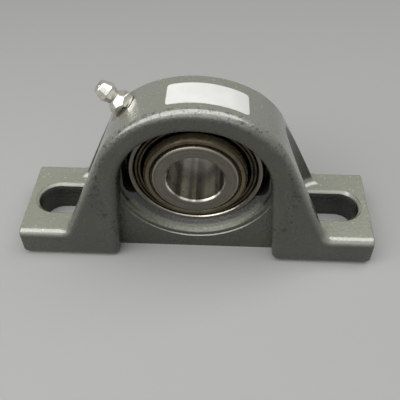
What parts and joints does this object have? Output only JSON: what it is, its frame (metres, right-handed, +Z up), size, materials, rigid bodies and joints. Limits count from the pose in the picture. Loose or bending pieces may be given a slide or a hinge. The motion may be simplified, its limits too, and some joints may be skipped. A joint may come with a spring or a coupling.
{
  "type": "pillow block bearing",
  "caption": "Cast pillow block housing with slotted feet, a self-aligning ball bearing insert, an eccentric locking collar and a grease fitting on the arch.",
  "frame": {"origin": "on the base plane under the shaft axis, midway along and across the feet", "axes": "+X along the base to the right seen from the open side of the arch, +Y along the shaft from the open side to the locking collar, +Z up"},
  "size_m": [0.1238, 0.0413, 0.0658],
  "materials": {
    "housing_paint": "semi-gloss grey-green enamel on cast iron",
    "ring_steel": "ground bearing steel",
    "ball_steel": "polished bearing steel",
    "cage_steel": "pressed steel sheet",
    "shield_steel": "bronze-toned plated sheet",
    "lip_rubber": "black nitrile rubber",
    "flinger_plate": "yellow-zinc plated steel",
    "collar_steel": "turned steel, lightly oiled",
    "screw_steel": "black-oxide alloy steel",
    "fitting_zinc": "bright zinc plate",
    "label_paper": "bare white adhesive label"
  },
  "bodies": {
    "base": {"housing": "housing_paint", "grease_fitting_body": "fitting_zinc", "label": "label_paper"},
    "check_ball": {"grease_fitting_ball": "ball_steel", "grease_fitting_spring": "cage_steel"},
    "insert": {"outer_ring": "ring_steel", "seal_shield_front": "shield_steel", "seal_shield_rear": "shield_steel", "seal_lip_front": "lip_rubber", "seal_lip_rear": "lip_rubber"},
    "rotor": {"inner_ring": "ring_steel", "flinger_front": "flinger_plate", "flinger_rear": "flinger_plate"},
    "cage": {"cage_front": "cage_steel", "cage_rear": "cage_steel", "cage_rivets": "cage_steel"},
    "collar": {"locking_collar": "collar_steel"},
    "set_screw": {"collar_set_screw": "screw_steel"},
    "rolling_ball_1": {"ball_1": "ball_steel"},
    "rolling_ball_2": {"ball_2": "ball_steel"},
    "rolling_ball_3": {"ball_3": "ball_steel"},
    "rolling_ball_4": {"ball_4": "ball_steel"},
    "rolling_ball_5": {"ball_5": "ball_steel"},
    "rolling_ball_6": {"ball_6": "ball_steel"},
    "rolling_ball_7": {"ball_7": "ball_steel"},
    "rolling_ball_8": {"ball_8": "ball_steel"}
  },
  "joints": [
    {"name": "insert_tilt", "type": "hinge", "parent": "base", "child": "insert", "pos_m": [0, 0, 0.03334], "axis": [1, 0, 0], "range_deg": [-2.5, 2.5]},
    {"name": "shaft_turn", "type": "hinge", "parent": "insert", "child": "rotor", "pos_m": [0, 0, 0.03334], "axis": [0, 1, 0], "continuous": true},
    {"name": "cage_turn", "type": "hinge", "parent": "insert", "child": "cage", "pos_m": [0, 0, 0.03334], "axis": [0, 1, 0], "continuous": true},
    {"name": "collar_turn", "type": "hinge", "parent": "rotor", "child": "collar", "pos_m": [0, 0, 0.03334], "axis": [0, 1, 0], "range_deg": [0, 25]},
    {"name": "set_screw_travel", "type": "slide", "parent": "collar", "child": "set_screw", "axis": [0, 0, 1], "range_m": [-0.0003, 0.003]},
    {"name": "check_ball_press", "type": "slide", "parent": "base", "child": "check_ball", "axis": [0.7071, 0, -0.7071], "range_m": [0, 0.0007], "stiffness_N_per_m": 200, "springref_m": -0.001},
    {"name": "ball_1_spin", "type": "hinge", "parent": "cage", "child": "rolling_ball_1", "pos_m": [0.01547, 0, 0.03975], "axis": [0, 1, 0], "continuous": true},
    {"name": "ball_2_spin", "type": "hinge", "parent": "cage", "child": "rolling_ball_2", "pos_m": [0.00641, 0, 0.04881], "axis": [0, 1, 0], "continuous": true},
    {"name": "ball_3_spin", "type": "hinge", "parent": "cage", "child": "rolling_ball_3", "pos_m": [-0.00641, 0, 0.04881], "axis": [0, 1, 0], "continuous": true},
    {"name": "ball_4_spin", "type": "hinge", "parent": "cage", "child": "rolling_ball_4", "pos_m": [-0.01547, 0, 0.03975], "axis": [0, 1, 0], "continuous": true},
    {"name": "ball_5_spin", "type": "hinge", "parent": "cage", "child": "rolling_ball_5", "pos_m": [-0.01547, 0, 0.02693], "axis": [0, 1, 0], "continuous": true},
    {"name": "ball_6_spin", "type": "hinge", "parent": "cage", "child": "rolling_ball_6", "pos_m": [-0.00641, 0, 0.01787], "axis": [0, 1, 0], "continuous": true},
    {"name": "ball_7_spin", "type": "hinge", "parent": "cage", "child": "rolling_ball_7", "pos_m": [0.00641, 0, 0.01787], "axis": [0, 1, 0], "continuous": true},
    {"name": "ball_8_spin", "type": "hinge", "parent": "cage", "child": "rolling_ball_8", "pos_m": [0.01547, 0, 0.02693], "axis": [0, 1, 0], "continuous": true}
  ],
  "couplings": [
    {"joint": "cage_turn", "follows": "shaft_turn", "ratio": 0.38152},
    {"joint": "ball_1_spin", "follows": "shaft_turn", "ratio": -1.9916},
    {"joint": "ball_2_spin", "follows": "shaft_turn", "ratio": -1.9916},
    {"joint": "ball_3_spin", "follows": "shaft_turn", "ratio": -1.9916},
    {"joint": "ball_4_spin", "follows": "shaft_turn", "ratio": -1.9916},
    {"joint": "ball_5_spin", "follows": "shaft_turn", "ratio": -1.9916},
    {"joint": "ball_6_spin", "follows": "shaft_turn", "ratio": -1.9916},
    {"joint": "ball_7_spin", "follows": "shaft_turn", "ratio": -1.9916},
    {"joint": "ball_8_spin", "follows": "shaft_turn", "ratio": -1.9916}
  ]
}
